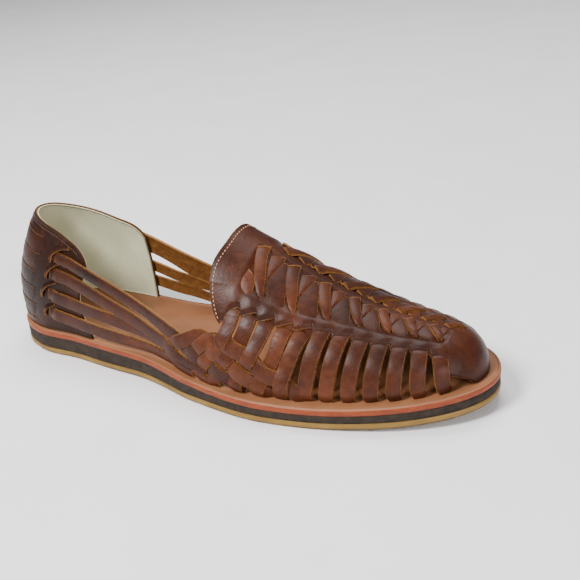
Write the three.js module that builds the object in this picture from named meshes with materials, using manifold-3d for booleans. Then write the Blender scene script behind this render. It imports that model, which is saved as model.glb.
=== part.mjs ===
import * as THREE from 'three';
import { mergeVertices } from 'three/addons/utils/BufferGeometryUtils.js';
import Module from 'manifold-3d';

const wasm = await Module();
wasm.setup();

// A slip-on huarache for the right foot, size 38 to 39: a woven leather upper on a flat layered sole.
// Millimetres. x runs from the heel's back to the toe, y across the foot with the outer side negative,
// z up from the floor. "Outer" is the little toe's side and "inner" is the big toe's.

const soleLength = 262;
const ballWidth = 92;
const tipShift = 5; // the toe's tip lies towards the inner side
const insoleThick = 2.9;
const outsoleThick = 3.6;
const edgeRound = 1.2; // how far the outsole's lower edge is drawn in
const gap = 0.3; // between two pieces that touch
const lastLength = 255.5; // the upper stops short of the sole's tip
const toeRound = 44; // length over which the toe comes down
const leather = 1.8; // one thickness of strap or panel
const weave = 3.2; // two straps crossing
const strapWidth = 7.2;
const strapCount = 12; // side straps on each side
const strapSink = 0.3; // the side straps lie this far below the vamp's face
const counterWall = 2.2; // leather and lining
const outer = -1;
const inner = 1;

// The sole's plan: half widths over those of an ellipse of the same length, as parts of the ball width.
const planRows = [
  { turn: 0.0, outer: 0.58, inner: 0.53 },
  { turn: 0.1, outer: 0.59, inner: 0.525 },
  { turn: 0.2, outer: 0.52, inner: 0.485 },
  { turn: 0.3, outer: 0.4, inner: 0.38 },
  { turn: 0.4, outer: 0.385, inner: 0.31 },
  { turn: 0.5, outer: 0.47, inner: 0.32 },
  { turn: 0.6, outer: 0.535, inner: 0.465 },
  { turn: 0.7, outer: 0.54, inner: 0.605 },
  { turn: 0.8, outer: 0.545, inner: 0.645 },
  { turn: 0.9, outer: 0.565, inner: 0.66 },
  { turn: 1.0, outer: 0.6, inner: 0.64 },
];

// The sole's side view: the insole's top and the outsole's bottom.
const sideRows = [
  { x: 0, top: 13.9, bottom: 1.2 },
  { x: 14, top: 13.5, bottom: 0 },
  { x: 72, top: 13.4, bottom: 0 },
  { x: 92, top: 13.3, bottom: 0.5 },
  { x: 110, top: 12.9, bottom: 0.5 },
  { x: 128, top: 11.6, bottom: 0 },
  { x: 150, top: 10.5, bottom: 0 },
  { x: 184, top: 10.2, bottom: 0 },
  { x: 223, top: 12.1, bottom: 1.6 },
  { x: 262, top: 16, bottom: 5 },
];

// The last: crest height over the insole, the crest's place across, and the foot line's part of the
// sole's half width on each side.
const lastRows = [
  { x: 0, height: 62, crest: 1, outer: 0.85, inner: 0.88 },
  { x: 29, height: 62, crest: 1, outer: 0.85, inner: 0.88 },
  { x: 50, height: 62.5, crest: 1, outer: 0.85, inner: 0.88 },
  { x: 60, height: 66, crest: 1, outer: 0.85, inner: 0.88 },
  { x: 78, height: 74, crest: 1, outer: 0.85, inner: 0.88 },
  { x: 94, height: 76, crest: 0.5, outer: 0.85, inner: 0.88 },
  { x: 110, height: 73.5, crest: 0.5, outer: 0.85, inner: 0.88 },
  { x: 125, height: 67.5, crest: 0.5, outer: 0.85, inner: 0.87 },
  { x: 150, height: 55.4, crest: 1, outer: 0.85, inner: 0.87 },
  { x: 175, height: 42.8, crest: 1.5, outer: 0.85, inner: 0.88 },
  { x: 200, height: 31.6, crest: 2.5, outer: 0.85, inner: 0.88 },
  { x: 220, height: 24.6, crest: 3.5, outer: 0.85, inner: 0.88 },
  { x: 240, height: 20.8, crest: 4.5, outer: 0.85, inner: 0.88 },
  { x: 262, height: 18.4, crest: 5, outer: 0.85, inner: 0.88 },
];

// How far the heel's back stands forward at each height over the insole.
const backRows = [
  { height: 0, set: 4 },
  { height: 15, set: 2.6 },
  { height: 22, set: 3 },
  { height: 35, set: 6.6 },
  { height: 42, set: 9.2 },
  { height: 57, set: 15.5 },
];
const backFade = 60; // the heel's back curve is gone this far forward

// The counter's top edge, from the back round to its front edge.
const collarRows = [
  { x: 0, height: 57 },
  { x: 8, height: 56.3 },
  { x: 24, height: 54 },
  { x: 37, height: 51.3 },
  { x: 48, height: 47.5 },
  { x: 55, height: 44.5 },
  { x: 59, height: 41 },
  { x: 61, height: 37 },
];

// The vamp's side edge: its share of the way from the crest down to the foot line.
const vampRows = [
  { x: 136, across: 0.6 },
  { x: 145, across: 0.66 },
  { x: 150, across: 0.56 },
  { x: 170, across: 0.51 },
  { x: 200, across: 0.43 },
  { x: 228, across: 0.4 },
  { x: 240, across: 0.46 },
  { x: 245, across: 0.73 },
  { x: 249, across: 0.82 },
  { x: 252, across: 0.98 },
];
const tongueRear = 136.5;
const tongueCorner = 8; // how far the tongue's corners are rounded off forward

// The top edge of the close weave low on each side, over the insole.
const braidRows = [
  { x: 112, height: 13 },
  { x: 119, height: 18 },
  { x: 128, height: 21.6 },
  { x: 136, height: 23.4 },
  { x: 144, height: 24.3 },
  { x: 152, height: 20.5 },
  { x: 162, height: 14 },
  { x: 172, height: 7.5 },
  { x: 178, height: 4 },
];

// The straps between the heel counter and the weave: their middle's height over the insole.
const quarterStraps = [
  [{ x: 42, height: 39 }, { x: 60, height: 34.4 }, { x: 92, height: 24.2 }, { x: 122, height: 17.5 }],
  [{ x: 39, height: 31 }, { x: 60, height: 25.6 }, { x: 92, height: 14.8 }, { x: 118, height: 9.5 }],
  [{ x: 37, height: 21.5 }, { x: 59, height: 17.2 }, { x: 88, height: 10.2 }, { x: 116, height: 7 }],
  [{ x: 36, height: 9 }, { x: 60, height: 7 }, { x: 88, height: 4.6 }, { x: 116, height: 4.2 }],
];

// Reads one column of a table as a smooth curve that never overshoots its rows.
function readTable(rows, key, column, at) {
  const last = rows.length - 1;
  if (at <= rows[0][key]) return rows[0][column];
  if (at >= rows[last][key]) return rows[last][column];
  let i = 0;
  while (at > rows[i + 1][key]) i += 1;
  const steep = (j) => (rows[j + 1][column] - rows[j][column]) / (rows[j + 1][key] - rows[j][key]);
  const slope = (j) => {
    if (j === 0) return steep(0);
    if (j === last) return steep(last - 1);
    const before = steep(j - 1);
    const after = steep(j);
    return before * after <= 0 ? 0 : (2 * before * after) / (before + after);
  };
  const span = rows[i + 1][key] - rows[i][key];
  const t = (at - rows[i][key]) / span;
  const bend = (1 - t) * (1 - t);
  return (1 + 2 * t) * bend * rows[i][column] + t * bend * span * slope(i)
    + t * t * (3 - 2 * t) * rows[i + 1][column] + t * t * (t - 1) * span * slope(i + 1);
}

const clamp = THREE.MathUtils.clamp;
const insoleTop = (x) => readTable(sideRows, 'x', 'top', x);
const outsoleBottom = (x) => readTable(sideRows, 'x', 'bottom', x);
const tipLine = (x) => tipShift * clamp(x / soleLength, 0, 1) ** 8;

// Half width of the sole at a share of its length, on one side.
function soleHalf(share, side) {
  const s = clamp(share, 0, 1);
  const turn = Math.acos(1 - 2 * s) / Math.PI;
  const part = readTable(planRows, 'turn', side < 0 ? 'outer' : 'inner', turn);
  return part * ballWidth * 2 * Math.sqrt(s * (1 - s));
}

// A point of the last. along: place along the foot. across: -1 at the outer foot line, 0 at the crest,
// 1 at the inner foot line. lift: how far the surface stands off the last. Each section is half an
// ellipse on each side of the crest, and the toe comes down to the insole on a rounded curve.
function lastPoint(along, across, lift) {
  const side = across < 0 ? outer : inner;
  const share = clamp(along / lastLength, 0, 1);
  const ease = Math.min(1, 6 * Math.sqrt(share * (1 - share)));
  const spread = readTable(lastRows, 'x', side < 0 ? 'outer' : 'inner', along);
  const crest = readTable(lastRows, 'x', 'crest', along);
  const foot = tipLine(along) + side * (soleHalf(share, side) * spread + lift * ease);
  const toe = clamp((along - lastLength + toeRound) / toeRound, 0, 1);
  const down = Math.sqrt(Math.max(0, 1 - toe ** 5));
  const height = (readTable(lastRows, 'x', 'height', along) + lift) * down;
  const bend = Math.abs(across) * Math.PI / 2;
  const rise = height * Math.cos(bend);
  const set = readTable(backRows, 'height', 'set', rise) * clamp(1 - along / backFade, 0, 1) ** 2;
  return new THREE.Vector3(
    along + lift * (2 * share - 1) ** 3 + set,
    THREE.MathUtils.lerp(crest, foot, Math.sin(bend)),
    insoleTop(along) + rise,
  );
}

// The value of across where the last's side is at a given height over the insole.
function acrossAt(along, height, side, lift) {
  const full = readTable(lastRows, 'x', 'height', along) + lift;
  return side * Math.acos(clamp(height / full, 0, 1)) / (Math.PI / 2);
}

// A closed mesh from a row of sections. Each section has a row of points on its face and the same
// number on its back. Sections and their ends are joined by strips; a section may close to a point.
function shellGeometry(sections) {
  const count = sections[0].face.length;
  const positions = [];
  for (const { face, back } of sections) {
    for (const p of [...face, ...back.slice().reverse()]) positions.push(p.x, p.y, p.z);
  }
  const round = 2 * count;
  const index = [];
  for (let i = 0; i + 1 < sections.length; i += 1) {
    for (let j = 0; j < round; j += 1) {
      const a = i * round + j;
      const b = i * round + (j + 1) % round;
      index.push(a, b, b + round, a, b + round, a + round);
    }
  }
  const tail = (sections.length - 1) * round;
  for (let j = 0; j + 1 < count; j += 1) {
    const k = round - 1 - j;
    index.push(j, k, k - 1, j, k - 1, j + 1);
    index.push(tail + j, tail + j + 1, tail + k - 1, tail + j, tail + k - 1, tail + k);
  }
  const geometry = new THREE.BufferGeometry();
  geometry.setAttribute('position', new THREE.Float32BufferAttribute(positions, 3));
  geometry.setIndex(index);
  return tidyGeometry(geometry);
}

// Merges shared points, drops flat triangles and turns the mesh so that its faces point out.
function tidyGeometry(source) {
  const merged = mergeVertices(source, 1e-3);
  const p = merged.getAttribute('position');
  const kept = [];
  let volume = 0;
  const [a, b, c] = [new THREE.Vector3(), new THREE.Vector3(), new THREE.Vector3()];
  const old = merged.index.array;
  for (let i = 0; i < old.length; i += 3) {
    if (old[i] === old[i + 1] || old[i + 1] === old[i + 2] || old[i] === old[i + 2]) continue;
    kept.push(old[i], old[i + 1], old[i + 2]);
    a.fromBufferAttribute(p, old[i]);
    b.fromBufferAttribute(p, old[i + 1]);
    c.fromBufferAttribute(p, old[i + 2]);
    volume += a.dot(b.cross(c));
  }
  if (volume < 0) kept.reverse();
  merged.setIndex(kept);
  return merged;
}

function toSolid(geometry) {
  const vertProperties = Float32Array.from(geometry.getAttribute('position').array);
  const triVerts = Uint32Array.from(geometry.index.array);
  return new wasm.Manifold(new wasm.Mesh({ numProp: 3, vertProperties, triVerts }));
}

function toGeometry(solid) {
  const { numProp, vertProperties, triVerts } = solid.getMesh();
  const positions = [];
  for (let i = 0; i < vertProperties.length; i += numProp) {
    positions.push(vertProperties[i], vertProperties[i + 1], vertProperties[i + 2]);
  }
  const geometry = new THREE.BufferGeometry();
  geometry.setAttribute('position', new THREE.Float32BufferAttribute(positions, 3));
  geometry.setIndex(Array.from(triVerts));
  return geometry;
}

// A flat strap laid along the last: route gives { along, across, lift } for the middle of its back, and
// base is added to every lift.
function strapGeometry(route, width, base, thick) {
  const mid = route.map(({ along, across, lift = 0 }) => lastPoint(along, across, base + lift));
  const top = route.map(({ along, across, lift = 0 }) => lastPoint(along, across, base + lift + 1));
  const sections = mid.map((point, i) => {
    const ahead = mid[Math.min(i + 1, mid.length - 1)];
    const behind = mid[Math.max(i - 1, 0)];
    const run = ahead.clone().sub(behind).normalize();
    const out = top[i].clone().sub(point);
    out.addScaledVector(run, -out.dot(run)).normalize();
    const half = out.clone().cross(run).multiplyScalar(width / 2);
    const raised = point.clone().addScaledVector(out, thick);
    return {
      face: [raised.clone().sub(half), raised.clone().add(half)],
      back: [point.clone().sub(half), point.clone().add(half)],
    };
  });
  return shellGeometry(sections);
}

// One layer of the sole: rings of the plan, drawn in by an inset, at heights read along the foot.
function soleLayer(rings) {
  const steps = 26;
  const outline = (inset, heightAt) => {
    const points = [];
    for (let i = 0; i < 2 * steps; i += 1) {
      const turn = (i <= steps ? i : 2 * steps - i) / steps;
      const share = (1 - Math.cos(turn * Math.PI)) / 2;
      const side = i <= steps ? outer : inner;
      const x = soleLength * share;
      points.push(new THREE.Vector3(x, tipLine(x) + side * soleHalf(share, side), 0));
    }
    return points.map((point, i) => {
      const ahead = points[(i + 1) % points.length];
      const behind = points[(i + points.length - 1) % points.length];
      const run = ahead.clone().sub(behind).normalize();
      const x = point.x - run.y * inset;
      return new THREE.Vector3(x, point.y + run.x * inset, heightAt(x));
    });
  };
  const positions = [];
  for (const { inset, heightAt } of rings) {
    for (const p of outline(inset, heightAt)) positions.push(p.x, p.y, p.z);
  }
  const round = 2 * steps;
  const index = [];
  for (let r = 0; r + 1 < rings.length; r += 1) {
    for (let i = 0; i < round; i += 1) {
      const a = r * round + i;
      const b = r * round + (i + 1) % round;
      index.push(a, b, b + round, a, b + round, a + round);
    }
  }
  const top = (rings.length - 1) * round;
  for (let i = 0; i < steps; i += 1) {
    const across = (k) => (round - k) % round;
    const [a, b, c, d] = [i, i + 1, across(i + 1), across(i)];
    index.push(a, c, b, a, d, c);
    index.push(top + a, top + b, top + c, top + a, top + c, top + d);
  }
  const geometry = new THREE.BufferGeometry();
  geometry.setAttribute('position', new THREE.Float32BufferAttribute(positions, 3));
  geometry.setIndex(index);
  return tidyGeometry(geometry);
}

function makeOutsole() {
  return soleLayer([
    { inset: edgeRound, heightAt: outsoleBottom },
    { inset: 0, heightAt: (x) => outsoleBottom(x) + edgeRound },
    { inset: 0, heightAt: (x) => outsoleBottom(x) + outsoleThick },
  ]);
}

function makeMidsole() {
  return soleLayer([
    { inset: 0.4, heightAt: (x) => outsoleBottom(x) + outsoleThick + gap },
    { inset: 0.4, heightAt: (x) => insoleTop(x) - insoleThick - gap },
  ]);
}

function makeInsole() {
  return soleLayer([
    { inset: 0, heightAt: (x) => insoleTop(x) - insoleThick },
    { inset: 0, heightAt: (x) => insoleTop(x) - 0.6 },
    { inset: 0.6, heightAt: insoleTop },
  ]);
}

// The cupped back of the shoe, open at the front, at the collar and underneath. grow makes the larger
// form that clears a way for it.
function counterGeometry(grow) {
  const around = 22;
  const up = 7;
  const front = collarRows[collarRows.length - 1].x;
  const sections = [];
  for (let i = -around; i <= around; i += 1) {
    const along = (front + grow) * (i / around) ** 2;
    const side = i < 0 ? outer : inner;
    const rim = readTable(collarRows, 'x', 'height', along) + grow;
    const wall = (lift) => {
      const points = [];
      for (let j = 0; j <= up; j += 1) {
        const height = THREE.MathUtils.lerp(gap - grow, rim, j / up);
        points.push(lastPoint(along, acrossAt(along, height, side, lift), lift));
      }
      return points;
    };
    sections.push({ face: wall(counterWall + grow), back: wall(-grow) });
  }
  return shellGeometry(sections);
}

// The vamp: a stitched tongue, the woven middle and the plain toe cap, as one wall over the last.
function vampGeometry() {
  const along = 22;
  const across = 7;
  const sections = [];
  for (let i = 0; i <= along; i += 1) {
    const step = Math.sin((i / along) * Math.PI / 2);
    const wall = (lift) => {
      const points = [];
      for (let j = -across; j <= across; j += 1) {
        const b = j / across;
        const rear = tongueRear + tongueCorner * b ** 8;
        const x = THREE.MathUtils.lerp(rear, lastLength, step);
        points.push(lastPoint(x, b * readTable(vampRows, 'x', 'across', x), lift));
      }
      return points;
    };
    sections.push({ face: wall(leather), back: wall(-(weave - leather)) });
  }
  return shellGeometry(sections);
}

// Side straps run from under the vamp's edge down into the insole, each leaning back a little.
function sideStraps(side) {
  const steps = 7;
  const straps = [];
  for (let k = 0; k < strapCount; k += 1) {
    const top = 150.5 + 8.15 * k;
    const foot = 140 + 9.5 * k;
    const start = readTable(vampRows, 'x', 'across', top) - 0.05;
    const end = acrossAt(foot, gap, side, 0) * side;
    const route = [];
    for (let i = 0; i <= steps; i += 1) {
      const t = i / steps;
      route.push({ along: THREE.MathUtils.lerp(top, foot, t), across: side * THREE.MathUtils.lerp(start, end, t) });
    }
    straps.push(strapGeometry(route, strapWidth, -strapSink, leather));
  }
  return straps;
}

// Four straps on each side run from slits in the counter forward into the close weave.
function quarterGeometry(rows, side) {
  const steps = 8;
  const proud = counterWall + gap;
  const front = collarRows[collarRows.length - 1].x;
  const route = [];
  for (let i = 0; i <= steps; i += 1) {
    const along = THREE.MathUtils.lerp(rows[0].x, rows[rows.length - 1].x, i / steps);
    const height = readTable(rows, 'x', 'height', along);
    const lift = proud * (1 - THREE.MathUtils.smoothstep(along, front + strapWidth / 2, braidRows[0].x));
    route.push({ along, across: acrossAt(along, height, side, lift), lift });
  }
  return strapGeometry(route, strapWidth, 0, leather);
}

// The close weave low on each side, as one wall.
function braidGeometry(side) {
  const steps = 11;
  const rise = 3;
  const ends = [braidRows[0].x, braidRows[braidRows.length - 1].x];
  const sections = [];
  for (let i = 0; i <= steps; i += 1) {
    const along = THREE.MathUtils.lerp(ends[0], ends[1], i / steps);
    const rim = readTable(braidRows, 'x', 'height', along);
    const wall = (lift) => {
      const points = [];
      for (let j = 0; j <= rise; j += 1) {
        const height = THREE.MathUtils.lerp(gap, rim, j / rise);
        points.push(lastPoint(along, acrossAt(along, height, side, lift), lift));
      }
      return points;
    };
    sections.push({ face: wall(counterWall + leather), back: wall(0.2) });
  }
  return shellGeometry(sections);
}

// The whole woven upper as one solid, cut off just above the insole and clear of the counter.
function makeUpper() {
  let upper = toSolid(vampGeometry());
  for (const side of [outer, inner]) {
    const pieces = [...sideStraps(side), braidGeometry(side)];
    for (const rows of quarterStraps) pieces.push(quarterGeometry(rows, side));
    for (const piece of pieces) upper = upper.add(toSolid(piece));
  }
  const below = soleLayer([
    { inset: -ballWidth / 8, heightAt: () => -1 },
    { inset: -ballWidth / 8, heightAt: (x) => insoleTop(x) + gap },
  ]);
  return toGeometry(upper.subtract(toSolid(below)).subtract(toSolid(counterGeometry(gap))));
}

function piece(name, geometry, color, roughness) {
  const material = new THREE.MeshStandardMaterial({ color, roughness, metalness: 0 });
  const mesh = new THREE.Mesh(geometry, material);
  mesh.name = name;
  return mesh;
}

const shoe = new THREE.Group();
shoe.add(piece('outsole', makeOutsole(), 0xb08a45, 0.6));
shoe.add(piece('midsole', makeMidsole(), 0x4a3d3b, 0.75));
shoe.add(piece('insole', makeInsole(), 0xb08a6c, 0.6));
shoe.add(piece('heel_counter', counterGeometry(0), 0x5e3424, 0.45));
shoe.add(piece('upper', makeUpper(), 0x6b3d2a, 0.42));

// The origin is on the floor under the middle of the whole shoe.
const box = new THREE.Box3().setFromObject(shoe);
const middle = box.getCenter(new THREE.Vector3());
shoe.position.set(-middle.x, -middle.y, -box.min.z);

const object = new THREE.Group();
object.add(shoe);

export default object;
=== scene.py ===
import math
from functools import partial

import bpy
import numpy as np
from mathutils import Matrix, Vector


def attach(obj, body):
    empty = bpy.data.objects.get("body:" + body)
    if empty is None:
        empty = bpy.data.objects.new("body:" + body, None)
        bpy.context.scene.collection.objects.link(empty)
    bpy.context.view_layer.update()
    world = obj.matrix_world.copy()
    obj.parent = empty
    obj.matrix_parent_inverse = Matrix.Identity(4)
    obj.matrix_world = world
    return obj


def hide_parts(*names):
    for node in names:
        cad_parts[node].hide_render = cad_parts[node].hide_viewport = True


# A slip-on huarache for the right foot: woven oiled leather on a flat, layered sole.
# Shapes are worked out in shoe millimetres: x from the heel's back to the toe, y across with the
# outer side negative, z up from the floor. addPiece turns them into the row frame's metres.

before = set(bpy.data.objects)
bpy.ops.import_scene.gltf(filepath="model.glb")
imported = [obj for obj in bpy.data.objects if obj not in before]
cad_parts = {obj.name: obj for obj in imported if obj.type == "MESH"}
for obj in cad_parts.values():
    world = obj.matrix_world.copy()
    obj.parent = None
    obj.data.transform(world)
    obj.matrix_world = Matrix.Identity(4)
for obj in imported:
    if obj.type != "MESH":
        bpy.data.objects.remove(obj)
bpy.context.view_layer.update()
outer = -1
inner = 1
shoeMiddle = (131.0, -0.48)  # where the row frame's origin lies in shoe millimetres


view = {"azimuth": 30.37, "elevation": 25.09, "roll": -5.04, "distance": 450.4,
        "target": (25.56, 12.3, 37.58), "lens": 57.73, "sensor": 36.0}


def makeCamera(spec):
    a, e, r = (math.radians(spec[k]) for k in ("azimuth", "elevation", "roll"))
    back = Vector((math.sin(a) * math.cos(e), -math.cos(a) * math.cos(e), math.sin(e)))
    right = Vector((math.cos(a), math.sin(a), 0))
    up = back.cross(right)
    turned = right * math.cos(r) + up * math.sin(r)
    upright = up * math.cos(r) - right * math.sin(r)
    data = bpy.data.cameras.new("camera")
    data.lens = spec["lens"]
    data.sensor_width = spec["sensor"]
    data.clip_start = 0.01
    camera = bpy.data.objects.new("camera", data)
    place = (Vector(spec["target"]) + back * spec["distance"]) / 1000
    camera.matrix_world = Matrix.Translation(place) @ Matrix((turned, upright, back)).transposed().to_4x4()
    bpy.context.scene.collection.objects.link(camera)
    bpy.context.scene.camera = camera


makeCamera(view)
print("camera set")


sole = {"length": 262.0, "ballWidth": 92.0, "tipShift": 5.0, "insole": 2.9, "outsole": 3.6}

planTable = {
    "turn": [0.0, 0.1, 0.2, 0.3, 0.4, 0.5, 0.6, 0.7, 0.8, 0.9, 1.0],
    "outer": [0.58, 0.59, 0.52, 0.4, 0.385, 0.47, 0.535, 0.54, 0.545, 0.565, 0.6],
    "inner": [0.53, 0.525, 0.485, 0.38, 0.31, 0.32, 0.465, 0.605, 0.645, 0.66, 0.64],
}
sideTable = {
    "x": [0, 14, 72, 92, 110, 128, 150, 184, 223, 262],
    "top": [13.9, 13.5, 13.4, 13.3, 12.9, 11.6, 10.5, 10.2, 12.1, 16],
    "bottom": [1.2, 0, 0, 0.5, 0.5, 0, 0, 0, 1.6, 5],
}
lastTable = {
    "x": [0, 29, 50, 60, 78, 94, 110, 125, 150, 175, 200, 220, 240, 262],
    "height": [62, 62, 62.5, 66, 74, 76, 73.5, 67.5, 55.4, 42.8, 31.6, 24.6, 20.8, 18.4],
    "crest": [1, 1, 1, 1, 1, 0.5, 0.5, 0.5, 1, 1.5, 2.5, 3.5, 4.5, 5],
    "outer": [0.85] * 14,
    "inner": [0.88] * 7 + [0.87] * 2 + [0.88] * 5,
}
backTable = {"height": [0, 15, 22, 35, 42, 57], "set": [4.6, 3.5, 4, 7.6, 10.4, 17]}
collarTable = {"x": [0, 8, 24, 37, 48, 55, 59, 61], "height": [57, 56.3, 54, 51.3, 47.5, 44.5, 41, 37]}
last = {"length": 255.5, "toeRound": 44.0, "backFade": 60.0}


# A cubic between each pair of rows that meets them with the given slopes.
def cubicThrough(rows, values, slope, at):
    i = np.clip(np.searchsorted(rows, at, side="right") - 1, 0, len(rows) - 2)
    span = rows[i + 1] - rows[i]
    t = (at - rows[i]) / span
    ends = (1 + 2 * t) * (1 - t) ** 2 * values[i] + t * t * (3 - 2 * t) * values[i + 1]
    return ends + span * (t * (1 - t) ** 2 * slope[i] + t * t * (t - 1) * slope[i + 1])


# A table column as a smooth curve through its rows: the slope at each is the harmonic mean of the
# two beside it, so that the curve never overshoots.
def readTable(table, key, column, at):
    k = np.asarray(table[key], float)
    v = np.asarray(table[column], float)
    steep = np.diff(v) / np.diff(k)
    before, after = steep[:-1], steep[1:]
    both = np.where(before * after > 0, before + after, 1.0)
    middle = np.where(before * after > 0, 2 * before * after / both, 0.0)
    slope = np.concatenate([steep[:1], middle, steep[-1:]])
    return cubicThrough(k, v, slope, np.clip(np.asarray(at, float), k[0], k[-1]))


# 0 up to low, 1 from high on, and an even s-curve between.
def smoothstep(low, high, at):
    t = np.clip((np.asarray(at, float) - low) / (high - low), 0, 1)
    return t * t * (3 - 2 * t)


def insoleTop(x):
    return readTable(sideTable, "x", "top", x)


def outsoleBottom(x):
    return readTable(sideTable, "x", "bottom", x)


def tipLine(x):
    return sole["tipShift"] * np.clip(np.asarray(x, float) / sole["length"], 0, 1) ** 8


# Half the sole's width: a share of the ball's width times that of an ellipse of the same length.
def soleHalf(share, side):
    s = np.clip(share, 0, 1)
    turn = np.arccos(1 - 2 * s) / math.pi
    part = np.where(side < 0, readTable(planTable, "turn", "outer", turn),
                    readTable(planTable, "turn", "inner", turn))
    return part * sole["ballWidth"] * 2 * np.sqrt(s * (1 - s))


# A point of the last: half an ellipse from the crest (across 0) down to each foot line (across -1
# and 1), standing off by lift, with the toe brought down and the heel's back set forward.
def lastPoint(along, across, lift=0.0):
    along, across, lift = np.broadcast_arrays(*(np.asarray(a, float) for a in (along, across, lift)))
    side = np.where(across < 0, -1.0, 1.0)
    share = np.clip(along / last["length"], 0, 1)
    ease = np.minimum(1, 6 * np.sqrt(share * (1 - share)))
    spread = np.where(side < 0, readTable(lastTable, "x", "outer", along),
                      readTable(lastTable, "x", "inner", along))
    crest = readTable(lastTable, "x", "crest", along)
    foot = tipLine(along) + side * (soleHalf(share, side) * spread + lift * ease)
    toe = np.clip((along - last["length"] + last["toeRound"]) / last["toeRound"], 0, 1)
    down = np.sqrt(np.maximum(0, 1 - toe ** 5))
    height = (readTable(lastTable, "x", "height", along) + lift) * down
    bend = np.abs(across) * math.pi / 2
    rise = height * np.cos(bend)
    fade = np.clip(1 - along / last["backFade"], 0, 1) ** 2
    back = readTable(backTable, "height", "set", rise) * fade
    return np.stack([along + lift * (2 * share - 1) ** 3 + back,
                     crest + (foot - crest) * np.sin(bend), insoleTop(along) + rise], -1)


# Where the last's side is at a height over the insole.
def acrossAt(along, height, side, lift=0.0):
    full = readTable(lastTable, "x", "height", along) + lift
    return side * np.arccos(np.clip(height / full, 0, 1)) / (math.pi / 2)


# A part is {"points", "faces", "values"}: values are named numbers at each point.
def joinParts(parts):
    points, faces, at = [], [], 0
    for part in parts:
        points.append(part["points"])
        faces.append(part["faces"] + at)
        at += len(part["points"])
    values = {k: np.concatenate([p["values"][k] for p in parts]) for k in parts[0]["values"]}
    return {"points": np.concatenate(points), "faces": np.concatenate(faces), "values": values}


def addPiece(name, part, materials, node=None, materialOf=None):
    points = part["points"].copy()
    points[:, 0] -= shoeMiddle[0]
    points[:, 1] -= shoeMiddle[1]
    mesh = bpy.data.meshes.new(name)
    faces = part["faces"]
    mesh.vertices.add(len(points))
    mesh.vertices.foreach_set("co", (points / 1000).astype(np.float32).ravel())
    mesh.loops.add(faces.size)
    mesh.loops.foreach_set("vertex_index", faces.astype(np.int32).ravel())
    mesh.polygons.add(len(faces))
    mesh.polygons.foreach_set("loop_start", np.arange(0, faces.size, 4, dtype=np.int32))
    mesh.polygons.foreach_set("use_smooth", np.ones(len(faces), bool))
    for key, numbers in part["values"].items():
        layer = mesh.attributes.new(key, "FLOAT", "POINT")
        layer.data.foreach_set("value", numbers.astype(np.float32))
    for material in materials:
        mesh.materials.append(material)
    if materialOf is not None:
        mesh.polygons.foreach_set("material_index", materialOf.astype(np.int32))
    mesh.update(calc_edges=True)
    mesh.validate()
    piece = bpy.data.objects.new(name, mesh)
    bpy.context.scene.collection.objects.link(piece)
    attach(piece, "root")
    if node:
        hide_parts(node)


def unit(v):
    return v / np.maximum(np.linalg.norm(v, axis=-1, keepdims=True), 1e-9)


def quads(index):
    return np.stack([index[:-1, :-1], index[1:, :-1], index[1:, 1:], index[:-1, 1:]], -1).reshape(-1, 4)


# A closed sheet of leather from its face and its back, two grids of the same size: the cut edge
# between them bulges out by the thickness times round. rim is 1 on the cut edge and fades in from
# the last column, flesh is 1 on the back, and tone is a shade that the whole sheet shares.
def sheetPart(face, back, tone=0.0, round=0.25):
    n, m = face.shape[:2]
    grid = np.arange(n * m).reshape(n, m)
    ring = np.concatenate([grid[:-1, 0], grid[-1, :-1], grid[:0:-1, -1], grid[0, :0:-1]])
    inside = np.concatenate([grid[:-1, 1], grid[-2, :-1], grid[:0:-1, -2], grid[1, :0:-1]])
    f, b = face.reshape(-1, 3), back.reshape(-1, 3)
    middle = (f[ring] + b[ring]) / 2
    out = unit(middle - (f[inside] + b[inside]) / 2)
    thick = np.linalg.norm(f[ring] - b[ring], axis=1, keepdims=True)
    rim = middle + out * thick * round
    count = n * m
    rimIndex = 2 * count + np.arange(len(ring))
    nextOf = np.roll(np.arange(len(ring)), -1)
    top = quads(grid)
    under = quads(grid)[:, ::-1] + count
    upper = np.stack([ring, rimIndex, rimIndex[nextOf], ring[nextOf]], -1)
    lower = np.stack([rimIndex, ring + count, ring[nextOf] + count, rimIndex[nextOf]], -1)
    points = np.concatenate([f, b, rim])
    faces = np.concatenate([top, under, upper[:, ::-1], lower[:, ::-1]])
    rimValue = np.zeros(len(points))
    rimValue[ring] = 0.62
    rimValue[ring + count] = 0.62
    rimValue[2 * count:] = 1
    flesh = np.zeros(len(points))
    flesh[count:2 * count] = 1
    flesh[2 * count:] = 0.5
    part = {"points": points, "faces": faces,
            "values": {"rim": rimValue, "flesh": flesh, "tone": np.full(len(points), float(tone))}}
    return faceOutward(part)


# Turns a closed part so that its faces point out: its volume, summed over the faces' corners as
# seen from the origin, comes out above zero.
def faceOutward(part):
    p, q = part["points"], part["faces"]
    a, b, c, d = (p[q[:, i]] for i in range(4))
    volume = np.einsum("ij,ij->i", a, np.cross(b, c)).sum() + np.einsum("ij,ij->i", a, np.cross(c, d)).sum()
    if volume < 0:
        part["faces"] = q[:, ::-1]
    return part


# Points evenly spaced by length along a smooth curve through a few given ones, whose slope at each
# is the mean of the two beside it.
def smoothPath(knots, count):
    knots = np.asarray(knots, float)
    run = np.concatenate([[0], np.cumsum(np.linalg.norm(np.diff(knots, axis=0), axis=1))])
    steep = np.diff(knots, axis=0) / np.diff(run)[:, None]
    slope = np.concatenate([steep[:1], (steep[:-1] + steep[1:]) / 2, steep[-1:]])
    fine = np.linspace(0, run[-1], 400)
    curve = np.stack([cubicThrough(run, knots[:, i], slope[:, i], fine) for i in range(knots.shape[1])], -1)
    length = np.concatenate([[0], np.cumsum(np.linalg.norm(np.diff(curve, axis=0), axis=1))])
    even = np.linspace(0, length[-1], count)
    return np.stack([np.interp(even, length, curve[:, i]) for i in range(knots.shape[1])], -1)


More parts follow.
